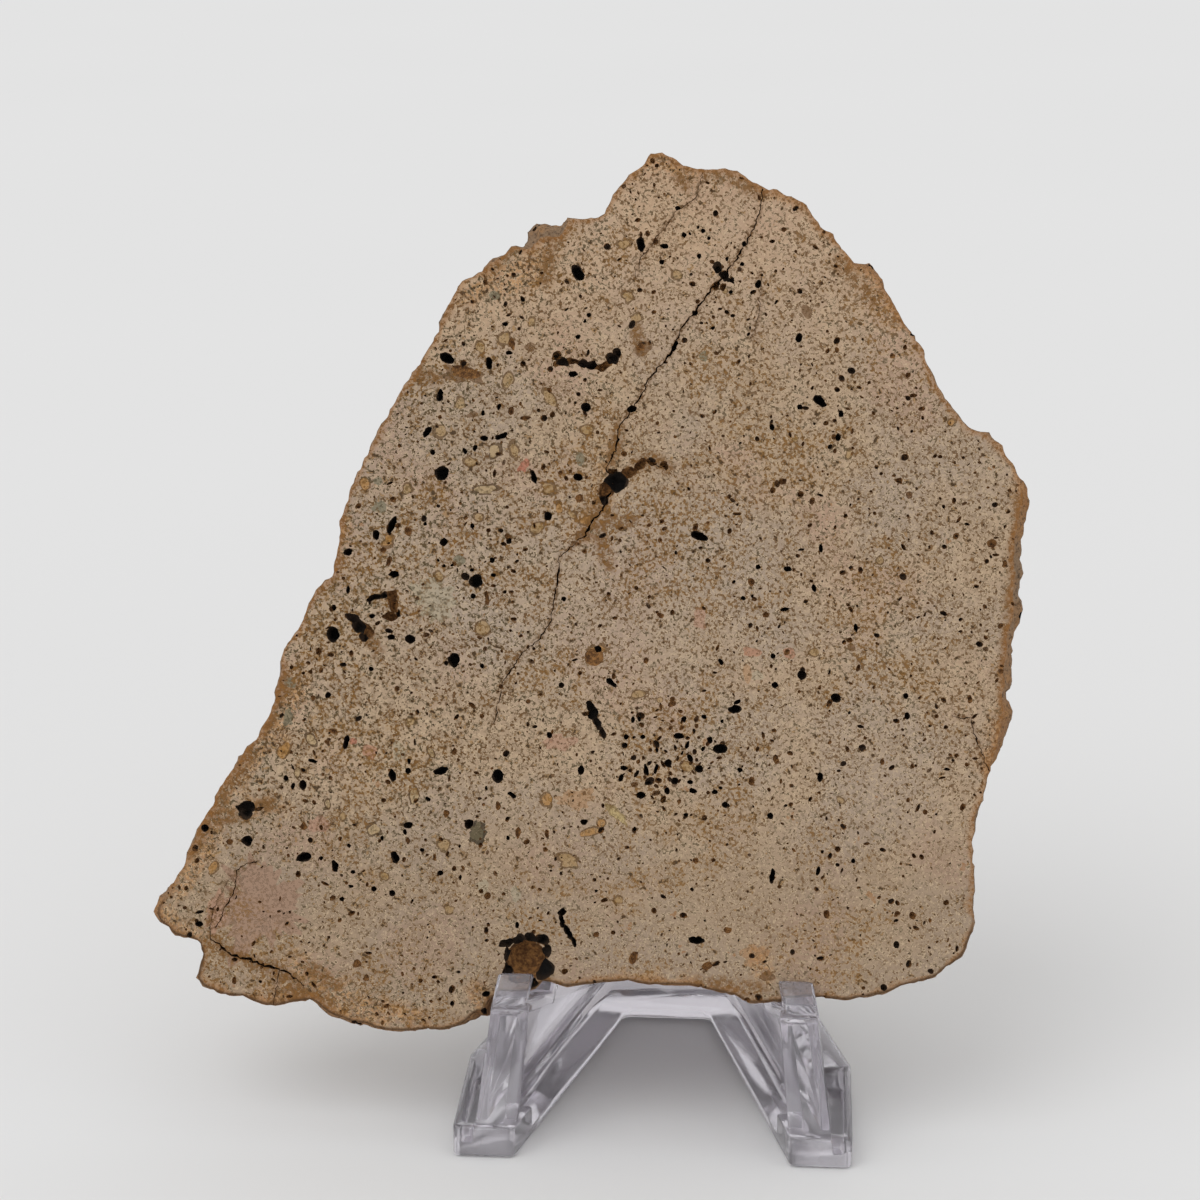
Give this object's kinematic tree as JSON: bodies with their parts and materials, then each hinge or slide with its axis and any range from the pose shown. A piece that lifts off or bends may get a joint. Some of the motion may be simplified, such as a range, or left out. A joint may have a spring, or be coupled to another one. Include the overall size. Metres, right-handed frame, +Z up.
{
  "type": "suevite slab on a display stand",
  "caption": "Sawn slab of porous impact breccia leaning on a small one-piece easel of clear plastic with hooked front posts.",
  "frame": {"origin": "on the surface that the stand rests on, under the middle of the whole object's box", "axes": "+Z up, +X to the right as the sawn face is looked at, +Y backwards, the way the slab leans"},
  "size_m": [0.1028, 0.046, 0.1105],
  "materials": {
    "suevite": "sawn matt face with open pores, rough broken rim",
    "clear_plastic": "clear glossy moulding with a faint lilac tint"
  },
  "bodies": {
    "root": {"slab": "suevite", "stand": "clear_plastic"}
  },
  "joints": []
}
